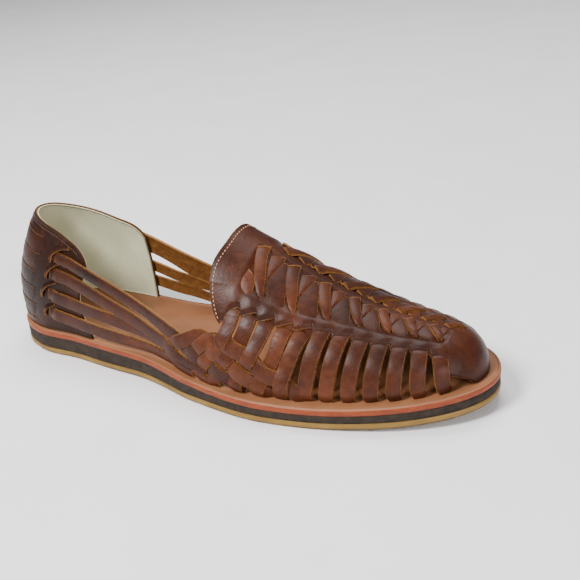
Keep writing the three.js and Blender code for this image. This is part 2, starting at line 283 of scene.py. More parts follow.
strapColumns = np.array([-1, -0.93, -0.75, -0.4, 0, 0.4, 0.75, 0.93, 1])


# A leather strap along the last: at each step its middle lies at (along, across, lift), it is as
# wide as width says, square to its run, and its face is a little domed.
def strapPart(along, across, lift, width, thick, dome, tone, tuck=None):
    mid = lastPoint(along, across, lift)
    ahead = lastPoint(along + 0.02, across, lift) - mid
    aside = lastPoint(along, across + 0.0004, lift) - mid
    out = np.cross(ahead, aside)
    if tuck is not None:
        mid = mid + tuck
    run = unit(np.gradient(mid, axis=0))
    out = unit(out - run * np.sum(out * run, axis=1, keepdims=True))
    side = np.cross(out, run)
    c = strapColumns[None, :, None]
    w = np.broadcast_to(width, along.shape)[:, None, None] / 2
    spine = mid[:, None] + side[:, None] * c * w
    swell = dome * (1 - c * c)
    t = np.broadcast_to(thick, along.shape)[:, None, None]
    return sheetPart(spine + out[:, None] * (t + swell), spine + out[:, None] * swell * 0.6, tone)


# A patch of leather between two lines of (along, across, lift), both with the same steps.
def patchPart(first, second, thick, dome, tone):
    share = ((strapColumns + 1) / 2)[None, :, None]
    mixed = first[:, None] * (1 - share) + second[:, None] * share
    lift = mixed[..., 2] + dome * (1 - strapColumns ** 2)
    face = lastPoint(mixed[..., 0], mixed[..., 1], lift + thick)
    back = lastPoint(mixed[..., 0], mixed[..., 1], lift)
    return sheetPart(face, back, tone)


def srgb(text):
    values = [int(text[i:i + 2], 16) / 255 for i in (0, 2, 4)]
    linear = [v / 12.92 if v <= 0.04045 else ((v + 0.055) / 1.055) ** 2.4 for v in values]
    return (*linear, 1.0)


# Adds one node with its settings (socket values, properties or a colour ramp's stops) and its
# links, and gives back one of its outputs.
def addNode(tree, kind, settings=None, links=None, out=0):
    node = tree.nodes.new("ShaderNode" + kind)
    for key, value in (settings or {}).items():
        if key == "stops":
            elements = node.color_ramp.elements
            while len(elements) < len(value):
                elements.new(0.5)
            for element, (position, color) in zip(elements, value):
                element.position = position
                element.color = color
        elif isinstance(key, int) or key in node.inputs:
            node.inputs[key].default_value = value
        else:
            setattr(node, key, value)
    for key, source in (links or {}).items():
        tree.links.new(source, node.inputs[key])
    return node.outputs[out] if node.outputs else None


def newMaterial(name):
    material = bpy.data.materials.new(name)
    material.use_nodes = True
    tree = material.node_tree
    tree.nodes.clear()
    add = partial(addNode, tree)
    return material, add, {"Vector": add("TexCoord", out="Object")}


def finishMaterial(add, settings, links):
    surface = add("BsdfPrincipled", settings, links)
    add("OutputMaterial", links={"Surface": surface})


def grey(value):
    return (value, value, value, 1.0)


perMetre = 1000.0  # a pattern that repeats every millimetre has this scale on Object coordinates


# Oiled pull-up cowhide, drum dyed and waxed: it darkens and pales in patches, shines softly on the grain
# side, and shows tan at its cut edges and on its flesh side. Patches are 26 mm across, mottling 3.2 mm,
# edge fibres 1.1 mm, pores 0.75 mm and soft wrinkles 2.4 mm.
def makePullUp(name, look):
    material, add, coords = newMaterial(name)
    patches = add("TexNoise", {"Scale": perMetre / 26, "Detail": 4, "Roughness": 0.55}, coords)
    mottle = add("TexNoise", {"Scale": perMetre / 3.2, "Detail": 5, "Roughness": 0.65}, coords)
    tone, rim, flesh = (add("Attribute", {"attribute_name": k}, out="Fac") for k in ("tone", "rim", "flesh"))
    blend = add("Math", {"operation": "MULTIPLY_ADD", 1: 0.3}, {0: mottle, 2: patches})
    shade = add("Math", {"operation": "MULTIPLY_ADD", 1: 0.16}, {0: tone, 2: blend})
    grains = [(0.3, srgb(look["dark"])), (0.62, srgb(look["body"])), (0.95, srgb(look["pale"]))]
    grain = add("ValToRGB", {"stops": grains}, {"Fac": shade})
    fleshes = [(0.3, srgb(look["fleshDark"])), (0.7, srgb(look["fleshPale"]))]
    fibres = add("ValToRGB", {"stops": fleshes}, {"Fac": mottle})
    backMask = add("ValToRGB", {"stops": [(0.55, grey(0)), (0.8, grey(1))]}, {"Fac": flesh})
    fuzz = add("TexNoise", {"Scale": perMetre / 1.1, "Detail": 3}, coords)
    raw = add("Math", {"operation": "MULTIPLY"}, {0: rim, 1: fuzz})
    edges = [(0.1, grey(0)), (0.42, grey(look["edgeShow"]))]
    edgeMask = add("ValToRGB", {"stops": edges}, {"Fac": raw})
    sided = add("Mix", {"data_type": "RGBA"}, {"Factor": backMask, 6: grain, 7: fibres}, 2)
    color = add("Mix", {"data_type": "RGBA", 7: srgb(look["edge"])}, {"Factor": edgeMask, 6: sided}, 2)
    pores = add("TexVoronoi", {"Scale": perMetre / 0.75, "feature": "F1"}, coords)
    wrinkles = add("TexNoise", {"Scale": perMetre / 2.4, "Detail": 4, "Distortion": 0.6}, coords)
    relief = add("Math", {"operation": "MULTIPLY_ADD", 1: 0.22}, {0: pores, 2: wrinkles})
    bump = add("Bump", {"Strength": look["bump"], "Distance": 0.0004}, {"Height": relief})
    polish = add("Math", {"operation": "MULTIPLY_ADD", 1: 0.25, 2: look["roughness"]}, {0: mottle})
    dull = add("Mix", {"data_type": "FLOAT", 3: 0.85}, {"Factor": backMask, 2: polish})
    finishMaterial(add, {"IOR": 1.48, "Specular IOR Level": look["sheen"], "Coat Weight": look["coat"],
                          "Coat Roughness": 0.32}, {"Base Color": color, "Normal": bump, "Roughness": dull})
    return material


pullUpLook = {"dark": "1b0b05", "body": "3c1a0b", "pale": "5e3018", "edge": "9c6a38", "edgeShow": 0.8,
              "fleshDark": "52300f", "fleshPale": "764b20", "bump": 0.35, "roughness": 0.3, "coat": 0.03,
              "sheen": 0.2}
strapLeather = makePullUp("oiledCowhideStrap", pullUpLook)
vampLeather = makePullUp("oiledCowhideVamp", {
    **pullUpLook, "body": "33160a", "pale": "522814", "edgeShow": 0.6, "sheen": 0.2})
barLeather = makePullUp("oiledCowhideBar", {**pullUpLook, "edge": "a06c3a"})
counterLeather = makePullUp("oiledCowhideCounter", {**pullUpLook, "dark": "120704", "body": "230f07",
                                                    "pale": "3c1d0e", "edgeShow": 0.12, "coat": 0.0,
                                                    "sheen": 0.18})
plaitLeather = makePullUp("oiledCowhidePlait", {**pullUpLook, "dark": "120704", "body": "251007",
                                                "pale": "402010", "edge": "8a5c34", "coat": 0.0,
                                                "sheen": 0.18})


# Vegetable-tanned shoulder, shaved and left natural: flat tan, a little darker where a heel and
# ball have pressed, clouded every 30 mm and with a fine close grain of 0.6 mm.
def makeFootbed(look):
    material, add, coords = newMaterial("vegetableTannedFootbed")
    cloud = add("TexNoise", {"Scale": perMetre / 30, "Detail": 5, "Roughness": 0.6}, coords)
    stops = [(0.3, srgb(look["dark"])), (0.7, srgb(look["pale"]))]
    base = add("ValToRGB", {"stops": stops}, {"Fac": cloud})
    worn = add("Attribute", {"attribute_name": "worn"}, out="Fac")
    color = add("Mix", {"data_type": "RGBA", 7: srgb(look["worn"])}, {"Factor": worn, 6: base}, 2)
    fine = add("TexNoise", {"Scale": perMetre / 0.6, "Detail": 3}, coords)
    bump = add("Bump", {"Strength": 0.25, "Distance": 0.0002}, {"Height": fine})
    finishMaterial(add, {"Roughness": 0.5, "IOR": 1.48}, {"Base Color": color, "Normal": bump})
    return material


footbedLeather = makeFootbed({"dark": "7e4e30", "pale": "946240", "worn": "704428"})


# A cut and sanded edge, stained or plain: streaks run along it, and specks the size of its grit.
def makeCutEdge(name, look):
    material, add, coords = newMaterial(name)
    flat = add("Mapping", {"Scale": (1, 1, look["streak"])}, coords)
    streaks = add("TexNoise", {"Scale": perMetre / look["size"], "Detail": 4}, {"Vector": flat})
    specks = add("TexNoise", {"Scale": perMetre / look["speck"], "Detail": 2}, coords)
    both = add("Math", {"operation": "MULTIPLY_ADD", 1: 0.4}, {0: specks, 2: streaks})
    stops = [(0.45, srgb(look["dark"])), (0.95, srgb(look["pale"]))]
    color = add("ValToRGB", {"stops": stops}, {"Fac": both})
    bump = add("Bump", {"Strength": look["bump"], "Distance": 0.0003}, {"Height": both})
    finishMaterial(add, {"Roughness": look["roughness"], "Specular IOR Level": 0.35, "IOR": look["ior"]},
                   {"Base Color": color, "Normal": bump})
    return material


edgeLook = {"streak": 1.0, "size": 1.0, "speck": 0.6, "bump": 0.3, "roughness": 0.6, "ior": 1.5}
# Leatherboard stained orange: dense, with faint layers along it.
stainedEdge = makeCutEdge("stainedLeatherboardEdge", {
    **edgeLook, "dark": "6c260a", "pale": "8e3f16", "streak": 3.0, "size": 9.0, "speck": 0.8, "bump": 0.35,
    "roughness": 0.55, "ior": 1.48})
# Black-brown EVA, cut open by the sander: fine closed cells, no shine.
foamEdge = makeCutEdge("sandedEvaFoam", {
    **edgeLook, "dark": "1d1611", "pale": "352b22", "size": 3.0, "speck": 0.5, "bump": 0.5, "roughness": 0.88,
    "ior": 1.45})
# Honey-coloured gum rubber: cloudy, nearly smooth, a dull gloss. Its tread and lower bevel are duller, and
# are painted darker as shade.
gumRubber = makeCutEdge("honeyGumRubber", {
    **edgeLook, "dark": "6a4d1b", "pale": "8a6a2c", "streak": 2.0, "size": 12.0, "bump": 0.2,
    "roughness": 0.5, "ior": 1.52})
shadedTreadRubber = makeCutEdge("gumTreadPaintedShade", {
    **edgeLook, "dark": "46300f", "pale": "735424", "size": 6.0, "bump": 0.4, "roughness": 0.75, "ior": 1.52})
# Cream pigskin: even in colour, with a fine pore and a slight greenish cast.
liningLeather = makeCutEdge("creamPigskinLining", {
    **edgeLook, "dark": "bdbb98", "pale": "d8d8ba", "size": 18.0, "speck": 0.7, "ior": 1.48})
# Waxed polyester thread, brown round the collar and tan on the tongue.
darkThread = makeCutEdge("waxedBrownThread", {**edgeLook, "dark": "3a2012", "pale": "66422a", "speck": 0.3})
waxedThread = makeCutEdge("waxedTanThread", {**edgeLook, "dark": "9a6a48", "pale": "cfa27c", "speck": 0.3})
print("materials made")


# A ring of the sole's plan, drawn in by an inset along its normal. Both sides share the same
# steps, so the ring goes round the outer side and comes back on the inner one.
def planRing(steps, inset):
    turn = np.arange(2 * steps) / steps
    turn = np.where(turn <= 1, turn, 2 - turn)
    share = (1 - np.cos(turn * math.pi)) / 2
    side = np.where(np.arange(2 * steps) <= steps, outer, inner)
    x = sole["length"] * share
    ring = np.stack([x, tipLine(x) + side * soleHalf(share, side)], -1)
    run = unit(np.roll(ring, -1, axis=0) - np.roll(ring, 1, axis=0))
    return ring + np.stack([-run[:, 1], run[:, 0]], -1) * np.reshape(inset, (-1, 1))


# A layer from rings going up, closed by a grid across the top and one across the bottom. height
# and floor give those grids' height from x and y.
def layerPart(rings, columns, floor, roof):
    round_ = len(rings[0])
    steps = round_ // 2
    count = len(rings)
    points = [np.concatenate(rings)]
    index = np.arange(count * round_).reshape(count, round_)
    loop = np.concatenate([index, index[:, :1]], 1)
    faces = [quads(loop)]
    at = count * round_
    t = (1 - np.cos(np.linspace(0, math.pi, columns + 1))) / 2
    for ring, base, shape in ((rings[0], 0, floor), (rings[-1], (count - 1) * round_, roof)):
        near = np.arange(1, steps)
        far = round_ - near
        cross = ring[near][:, None] + (ring[far] - ring[near])[:, None] * t[1:-1, None]
        cross[..., 2] = shape(cross[..., 0], cross[..., 1])
        cells = at + np.arange(cross[..., 0].size).reshape(cross.shape[:2])
        at += cells.size
        points.append(cross.reshape(-1, 3))
        row = np.concatenate([base + near[:, None], cells, base + far[:, None]], 1)
        heel = np.full((1, row.shape[1]), base)
        toe = np.full((1, row.shape[1]), base + steps)
        made = quads(np.concatenate([heel, row, toe]))
        faces.append(made[:, ::-1] if base == 0 else made)
    part = {"points": np.concatenate(points), "faces": np.concatenate(faces), "values": {}}
    return faceOutward(part)


# A ring drawn in by its inset, at a rise over a surface whose height depends on x.
def ringAt(steps, inset, surface, rise):
    flat = planRing(steps, inset)
    return np.concatenate([flat, np.reshape(surface(flat[:, 0]) + rise, (-1, 1))], 1)


outsoleSpec = {"steps": 620, "columns": 26, "tooth": 1.7, "toothDepth": 0.45, "rib": 3.4, "ribDepth": 0.7}


# Crepe-patterned gum sheet: fine teeth round its lower edge, and ribs across its underside, both
# sine waves of a real pitch.
def makeOutsole(spec):
    steps = spec["steps"]
    flat = planRing(steps, 0.0)
    run = np.concatenate([[0], np.cumsum(np.linalg.norm(np.diff(flat, axis=0), axis=1))])
    tooth = 0.5 + 0.5 * np.sin(run * 2 * math.pi / spec["tooth"])
    thick = sole["outsole"]
    wall = [(1.5, 0), (0.9, 0.15), (0.75 - spec["toothDepth"] * tooth, 0.7),
            (0.55 - spec["toothDepth"] * tooth, 1.05), (0.05, 1.35), (0, thick * 0.6), (0.1, thick - 0.15),
            (0.35, thick)]
    rings = [ringAt(steps, inset, outsoleBottom, rise) for inset, rise in wall]

    def tread(x, y):
        wave = 0.5 + 0.5 * np.cos(2 * math.pi * x / spec["rib"])
        return outsoleBottom(x) + spec["ribDepth"] * wave ** 2

    part = layerPart(rings, spec["columns"], tread, lambda x, y: outsoleBottom(x) + thick)
    low = part["points"][:, 2] - outsoleBottom(part["points"][:, 0])
    # The tread and the toothed bevel within 1.1 mm of the bottom take the darker rubber, which is painted
    # shade.
    bottom = (low[part["faces"]].mean(1) < 1.1).astype(int)
    addPiece("outsole_rubber", part, [gumRubber, shadedTreadRubber], "outsole", bottom)


makeOutsole(outsoleSpec)


midsoleSpec = {"steps": 260, "columns": 10, "shares": (0, 0.05, 0.2, 0.5, 0.8, 0.95, 1), "inset": 0.5,
               "swell": 0.35, "gap": 0.02}


# EVA sheet, cut and sanded flush: its side swells out a touch between the two it is glued to.
def makeMidsole(spec):
    steps = spec["steps"]
    low = lambda x: outsoleBottom(x) + sole["outsole"] + spec["gap"]
    high = lambda x: insoleTop(x) - sole["insole"] - spec["gap"]
    rings = []
    for share in spec["shares"]:
        swell = spec["inset"] - spec["swell"] * math.sin(share * math.pi) ** 0.5
        rings.append(ringAt(steps, swell, lambda x, s=share: low(x) + (high(x) - low(x)) * s, 0))
    part = layerPart(rings, spec["columns"], lambda x, y: low(x), lambda x, y: high(x))
    addPiece("midsole_foam", part, [foamEdge], "midsole")


makeMidsole(midsoleSpec)

footbedSpec = {"steps": 420, "columns": 70, "edgeRound": 0.55, "heelPress": (36, 0, 26, 20),
               "ballPress": (186, -2, 34, 30), "pressDepth": 0.35}


# The insole: a stained edge, a pale burnished corner, and a flat top pressed in a little under
# heel and ball. worn is a soft oval at each of those, 1 at its middle.
def makeInsole(spec):
    steps = spec["steps"]
    thick = sole["insole"]
    r = spec["edgeRound"]
    wall = [(0.3, -thick), (0.02, 0.25 - thick), (0, -0.5 * thick), (0.04, -r), (0.35 * r, -0.3 * r),
            (r, -0.02), (r + 0.9, 0)]
    rings = [ringAt(steps, inset, insoleTop, rise) for inset, rise in wall]

    def press(x, y):
        total = 0
        for cx, cy, rx, ry in (spec["heelPress"], spec["ballPress"]):
            total = total + np.exp(-((x - cx) / rx) ** 2 - ((y - cy) / ry) ** 2)
        return total

    part = layerPart(rings, spec["columns"], lambda x, y: insoleTop(x) - thick,
                     lambda x, y: insoleTop(x) - spec["pressDepth"] * press(x, y))
    p = part["points"]
    part["values"]["worn"] = np.clip(press(p[:, 0], p[:, 1]), 0, 1) * 0.45
    stainedBands = 4  # counted up the wall from below
    edge = (np.arange(len(part["faces"])) < stainedBands * 2 * steps).astype(int)
    addPiece("insole_leather", part, [footbedLeather, stainedEdge], "insole", edge)


makeInsole(footbedSpec)
print("sole made")


counterSpec = {"around": 110, "up": 44, "face": 2.2, "split": 1.05, "lining": 0.1, "liningDrop": 0.7,
               "foot": 0.25, "front": {outer: 62.3, inner: 64.8}, "scoop": {outer: 6.5, inner: 0.0}}


# The counter's wall at a lift: around goes from the outer front edge (-1) past the heel's back (0)
# to the inner one (1), and up from the insole to the collar line less a drop. Its front edge is
# scooped back by half a sine wave over its height.
def counterGrid(spec, lift, drop, inset=0.0):
    turn = np.linspace(-1, 1, 2 * spec["around"] + 1)
    front, scoop = (np.where(turn < 0, spec[k][outer], spec[k][inner])[:, None] for k in ("front", "scoop"))
    rim = readTable(collarTable, "x", "height", collarTable["x"][-1] * turn ** 2) - drop
    t = np.linspace(0, 1, spec["up"] + 1)
    height = spec["foot"] + (rim[:, None] - spec["foot"]) * t[None]
    turn = turn[:, None]
    wave = np.sin(math.pi * np.clip((height - 1) / 37, 0, 1))
    x = (front - inset) * turn ** 2 - scoop * turn ** 16 * wave
    return lastPoint(x, acrossAt(x, height, np.where(turn < 0, -1.0, 1.0), lift), lift)


def makeCounter(spec):
    shell = sheetPart(counterGrid(spec, spec["face"], 0.0), counterGrid(spec, spec["split"], 0.0), -0.2)
    addPiece("counter_leather", shell, [counterLeather], "heel_counter")
    drop = spec["liningDrop"]
    lining = sheetPart(counterGrid(spec, spec["split"] - 0.03, drop, 0.6),
                       counterGrid(spec, spec["lining"], drop, 0.6))
    addPiece("counter_lining", lining, [liningLeather])


makeCounter(counterSpec)

plaitSpec = {"heights": [53.5, 45.0, 36.0, 27.0, 18.0, 9.5], "reach": 31.5, "stagger": 1.2, "rake": 1.1,
             "drop": 6.0, "wide": 10.5, "lead": -3.2, "high": -0.5, "deep": -1.0, "sink": 0.75, "thick": 0.9}


# Six plaits round the heel's back, each lapping the one below like a tile: it runs from the back's
# middle down to a cut end on each side, its upper edge standing proud and its lower one sunk.
def makePlaits(spec):
    parts = []
    t = np.linspace(0, 1, 36)
    sink = spec["sink"] * smoothstep(0.86, 1, t)
    high, deep = (counterSpec["face"] + spec[k] - sink for k in ("high", "deep"))
    for k, height in enumerate(spec["heights"]):
        reach = spec["reach"] + spec["stagger"] * (k % 2) - spec["rake"] * k
        along = reach * (0.004 + 0.996 * t) ** 1.5
        top = height - spec["drop"] * t ** 0.8
        low = np.maximum(top - spec["wide"] * (1 - 0.3 * smoothstep(0.8, 1, t)), 1.0)
        for side in (outer, inner):
            edges = []
            for h, lift, lead in ((top, high, 0.0), (low, deep, spec["lead"])):
                x = np.maximum(along + lead * t, 0.01)
                edges.append(np.stack([x, acrossAt(x, h, side, lift), lift], -1))
            parts.append(patchPart(edges[0], edges[1], spec["thick"], 0.25, -0.5 + 0.3 * (k % 2)))
    addPiece("counter_plaits", joinParts(parts), [plaitLeather])


makePlaits(plaitSpec)

# The slits where the quarter straps come out of the counter: each one's raw lip as (along, height).
lipSpec = {
    "lips": [
        [(37.6, 36.8), (38.4, 39.9), (41, 42.2), (45, 43.7), (50, 44.2)],
        [(34.8, 28.4), (36.4, 31.9), (40, 34.9), (44, 36.6)],
        [(31.4, 18.4), (33.2, 22.2), (37, 25.2), (41.5, 26.6)],
        [(32.6, 8.2), (33.3, 11), (35.6, 13.3), (39.5, 14.6)],
    ],
    "steps": 24, "proud": 0.35, "arch": 0.75, "root": -1.1, "spread": (-2.6, 2.4), "taper": 0.6, "thick": 0.9,
}


# A lip arches up over its strap, as the root of a sine, from a line further back that is sunk in
# the counter.
def makeLips(spec):
    parts = []
    t = np.linspace(0, 1, spec["steps"])
    proud = counterSpec["face"] + spec["proud"] + spec["arch"] * np.sin(math.pi * t) ** 0.5
    low = np.full(spec["steps"], counterSpec["face"] + spec["root"])
    for lip in spec["lips"]:
        path = smoothPath(lip, spec["steps"])
        back = path + np.array(spec["spread"]) * (1 - spec["taper"] * t[:, None])
        for side in (outer, inner):
            edges = [np.stack([q[:, 0], acrossAt(q[:, 0], q[:, 1], side, w), w], -1)
                     for q, w in ((path, proud), (back, low))]
            parts.append(patchPart(edges[0], edges[1], spec["thick"], 0.3, -0.2))
    addPiece("counter_lips", joinParts(parts), [plaitLeather])


makeLips(lipSpec)
print("heel made")


vampTable = {
    "x": [136, 145, 150, 170, 200, 228, 240, 242.5, 244.5, 248.5, 251, 252.6, 253.8],
    "across": [0.6, 0.66, 0.56, 0.51, 0.43, 0.4, 0.45, 0.58, 0.7, 0.745, 0.8, 0.88, 0.99],
}
zoneTable = {"x": [150, 163, 178, 194, 208, 222, 240], "across": [0.43, 0.42, 0.4, 0.34, 0.3, 0.28, 0.27]}
sideSpec = {"count": 12, "firstTop": 150.5, "topPitch": 8.15, "firstFoot": 140.0, "footPitch": 9.5,
            "width": 6.3, "wovenExtra": 0.3, "vary": 0.2, "thick": 1.5, "dome": 0.35, "bulge": 0.9,
            "under": 0.13, "hidden": 8, "deep": -1.7, "surfaced": 14, "tuck": 2.4, "tuckBelow": 4.5}
vampSpec = {"along": 330, "across": 68, "rear": 136.8, "crestSet": 2.5, "corner": 8.0, "back": 0.2,
            "face": 1.8, "recess": 1.3, "spine": 0.03, "zoneStart": 151.0, "zoneEnd": 241.0,
            "scallop": 0.026, "puff": 0.4}


# How close x is to the middle of a side strap's top: 1 there and 0 halfway between two.
def overStrap(x):
    phase = (x - sideSpec["firstTop"]) / sideSpec["topPitch"]
    wave = 0.5 + 0.5 * np.cos(2 * math.pi * phase)
    count = sideSpec["count"]
    ends = smoothstep(-0.6, -0.3, phase) * (1 - smoothstep(count - 0.7, count - 0.3, phase))
    return wave * ends


# The slit lips' line along the vamp's edge: over each strap it rises toward the toe from -1 to 1,
# and between straps it drops back, so that a web of leather hangs down there.
def lipWave(x):
    phase = (x - sideSpec["firstTop"]) / sideSpec["topPitch"] + 0.5
    u = phase - np.floor(phase) - 0.5
    rise = np.clip(u / 0.4, -1, 1)
    drop = 1 - 2 * smoothstep(0.4, 0.6, np.where(u < -0.4, u + 1, u))
    wave = np.where(np.abs(u) < 0.4, rise, drop)
    return wave * smoothstep(145, 148, x) * (1 - smoothstep(242, 245, x))


def vampRear(share):
    spec = vampSpec
    set_ = spec["crestSet"] * (1 - smoothstep(0.25, 0.7, np.abs(share)))
    return spec["rear"] + set_ + spec["corner"] * share ** 8


# The vamp's relief over the last: rails puffed up over each strap, a sunk field for the bars on
# each side of the middle spine, and a fold across each corner of the tongue.
def vampRelief(x, across):
    spec = vampSpec
    b = np.abs(across)
    edge = readTable(vampTable, "x", "across", x)
    zone = readTable(zoneTable, "x", "across", x)
    field = smoothstep(spec["spine"], spec["spine"] + 0.03, b) * (1 - smoothstep(zone - 0.06, zone + 0.03, b))
    field = field * smoothstep(spec["zoneStart"], spec["zoneStart"] + 3, x)
    field = field * (1 - smoothstep(spec["zoneEnd"] - 3, spec["zoneEnd"], x))
    rail = np.exp(-((b - (edge + zone) / 2) / 0.055) ** 2) * (1 - smoothstep(238, 244, x))
    fold = np.exp(-((b - 0.47 + 0.006 * (x - 140)) / 0.018) ** 2) * (1 - smoothstep(144, 153, x))
    return spec["puff"] * overStrap(x) * rail - spec["recess"] * field + 0.22 * fold


def makeVamp(spec):
    step = np.sin(np.linspace(0, 1, spec["along"] + 1) * math.pi / 2)[:, None]
    share = np.linspace(-1, 1, 2 * spec["across"] + 1)[None]
    rear = vampRear(share)
    x = rear + (last["length"] - rear) * step
    edge = readTable(vampTable, "x", "across", x) - spec["scallop"] * (lipWave(x) - 0.2)
    across = share * edge
    relief = vampRelief(x, across)
    thin = 1 - 0.5 * smoothstep(0.93, 1, np.abs(share))
    face = lastPoint(x, across, spec["back"] + (spec["face"] - spec["back"]) * thin + relief)
    back = lastPoint(x, across, spec["back"] + relief)
    addPiece("vamp_panel", sheetPart(face, back, 0.0), [vampLeather], "upper")


makeVamp(vampSpec)


# Routes over the side, as (along the foot, height over the insole). Of the straps that go down
# through the weave, the first two turn over its top edge in loops and the rest are side straps.
weaveRisers = [
    [(140, 20), (136.6, 22), (132.9, 21.2), (128.6, 19.1), (124.9, 17.1), (120.7, 14.6), (118.7, 12),
     (117.8, 8.4), (118.2, 5.7), (120.1, 3.6), (123.2, 2.9), (127.5, 2.6), (131, 2.4)],
    [(148, 21.5), (144, 22.2), (141.4, 21.8), (138.8, 20.2), (136.3, 18.1), (133.7, 15.1), (131.7, 11.5),
     (130.9, 9), (131.2, 6.4), (132.9, 4.1), (135.7, 2.8), (139.4, 2.3), (143, 2)],
    [(151, 36), (150.5, 28.6), (147.4, 20.6), (144, 15.8), (138.2, 10), (136.1, 5.1), (136.5, 0.4)],
    [(159, 34), (158.6, 29.5), (157, 24.2), (154.2, 19.1), (149.9, 14.4), (145.9, 9.1), (143.6, 4),
     (143.4, 0.4)],
    [(167, 31.5), (166.2, 27.3), (163.3, 19.1), (161.3, 14.8), (157.8, 9.3), (155.3, 3.8), (154.8, 0.4)],
    [(175.2, 29), (174.6, 24.8), (172.7, 17), (170, 11.9), (167.3, 5.9), (165.8, 2.1), (165.4, 0.4)],
    [(183.2, 27.5), (181, 20.7), (178.3, 10.9), (177.2, 1.6), (177, 0.4)],
]
loopCount = 2
wovenCount = len(weaveRisers) - loopCount
weaveRunners = [
    [(143, 20.5), (148, 22.4), (155.3, 20.4), (159, 18.6), (164.7, 15.3), (169.8, 12.1), (175.5, 9.4),
     (183, 4.5), (187.5, 0.9)],
    [(134, 17), (138.5, 18.3), (144.2, 16.9), (152.2, 13), (157, 10.5), (163.8, 6.6), (168.1, 3.6),
     (172, 0.8)],
]
# The upper two quarter straps run from the counter into the weave, and the lower two end at it.
quarterStarts = {
    outer: [[(37, 40), (44, 39.3), (62, 35.7), (77.6, 31.6), (95.5, 25.4), (112, 20.3)],
            [(36, 31.5), (43, 31), (62, 27.4), (77.5, 22.8), (95, 16.8), (108, 12.8)]],
    inner: [[(37, 41), (44, 39.5), (61, 35.8), (76, 30.5), (92, 25), (106, 20.6)],
            [(36, 33.5), (43, 32.5), (65, 29.3), (77, 25.4), (89, 20), (104, 14.6)]],
}
quarterTails = [
    [(120, 17.6), (127, 14.6), (131, 13), (138.6, 10.6), (143.7, 9), (148.2, 7.1), (152.2, 5), (156, 2.8),
     (159, 0.8)],
    [(118.4, 9.9), (123.2, 7.8), (126.3, 6.9), (133.7, 5.2), (139, 3.4), (144, 0.8)],
]
lowQuarters = {
    outer: [[(34.5, 20.6), (52, 17.9), (66.5, 16.4), (80, 14.6), (92, 12.6), (103, 11), (112, 9.5)],
            [(33.8, 10.6), (51, 8.3), (65, 7.2), (80, 5.7), (92, 4.8), (103, 4.3), (113, 3.8), (120, 3.4)]],
    inner: [[(34.5, 21.5), (52, 19.5), (65, 17.7), (79, 14.8), (89, 13.4), (104, 11), (112, 9.5)],
            [(33.8, 11.6), (51, 10), (65, 8.8), (79, 7.6), (89, 7), (104, 4.6), (113, 3.8), (120, 3.4)]],
}


# A side strap's route: down through the weave for the first ones, straight to its slot for the rest.
def sideRoute(k, side):
    if k < wovenCount:
        path = smoothPath(weaveRisers[k + loopCount], 64)
        return path[:, 0], acrossAt(path[:, 0], path[:, 1], side)
    top = sideSpec["firstTop"] + sideSpec["topPitch"] * k
    foot = sideSpec["firstFoot"] + sideSpec["footPitch"] * k
    t = np.linspace(0, 1, 64)
    start = readTable(vampTable, "x", "across", top) - 0.05
    end = np.abs(acrossAt(foot, 0.4, side))
    return top + (foot - top) * t, side * (start + (end - start) * t)


# Where two routes cross over the side, as the step on each, or None if they stay apart.
def crossing(a, b):
    gaps = np.linalg.norm(a[:, None] - b[None], axis=2)
    i, j = np.unravel_index(gaps.argmin(), gaps.shape)
    return (i, j) if gaps[i, j] < 1.2 else None


# A strap's lift along its steps: a smooth curve through its crossings, high where it is on top.
def weaveLift(count, knots, start, end):
    knots = sorted(knots)
    steps = [0] + [k for k, _ in knots] + [count - 1]
    lifts = [start] + [v for _, v in knots] + [end]
    keep = [0] + [i for i in range(1, len(steps)) if steps[i] > steps[i - 1] + 1]
    steps = np.array(steps, float)[keep]
    lifts = np.array(lifts, float)[keep]
    i = np.clip(np.searchsorted(steps, np.arange(count), side="right") - 1, 0, len(steps) - 2)
    t = (np.arange(count) - steps[i]) / (steps[i + 1] - steps[i])
    return lifts[i] + (lifts[i + 1] - lifts[i]) * t * t * (3 - 2 * t)


weaveSpec = {"over": 2.1, "under": 0.1, "steps": 190, "riserSteps": 64, "width": 7.0, "thick": 1.6,
             "dome": 0.35}
quarterSpec = {
    "proud": 0.2, "root": 1.7, "rested": 0.8,
    "upper": [{"width": 5.1, "widen": 1.5, "narrow": 0.0, "dip": 0.0, "darker": 1.2},
              {"width": 5.9, "widen": 1.1, "narrow": 2.8, "dip": 1.1, "darker": 0.6}],
    "lower": {"steps": 110, "width": 5.9, "narrow": 1.3, "dip": 0.5, "thick": 1.5, "dome": 0.3,
              "darker": 0.4},
}
shades = np.random.default_rng(7)


# Near the insole a strap bends in to its slot: it moves in by the square of how low it is.
def tuckIn(along, across, lift, side):
    rise = lastPoint(along, across, lift)[:, 2] - insoleTop(along)
    inward = sideSpec["tuck"] * np.clip(1 - rise / sideSpec["tuckBelow"], 0, 1) ** 2
    move = np.zeros((len(along), 3))
    move[:, 1] = -side * inward
    return move


# A woven strap, laid at a lift along its route over the side.
def laidStrap(path, lift, width, tone, side, dome=weaveSpec["dome"]):
    x = path[:, 0]
    across = acrossAt(x, path[:, 1], side, lift)
    return strapPart(x, across, lift, width, weaveSpec["thick"], dome, tone, tuckIn(x, across, lift, side))


# Plain weave: strap i is over strap j where i and j are both odd or both even.
def weaveKnots(risers, runners):
    riserKnots = [[] for _ in risers]
    runnerKnots = [[] for _ in runners]
    for i, riser in enumerate(risers):
        for j, runner in enumerate(runners):
            met = crossing(riser, runner)
            if met is None:
                continue
            riserOnTop = (i + j) % 2 == 0
            riserKnots[i].append((met[0], weaveSpec["over" if riserOnTop else "under"]))
            runnerKnots[j].append((met[1], weaveSpec["under" if riserOnTop else "over"]))
    return riserKnots, runnerKnots


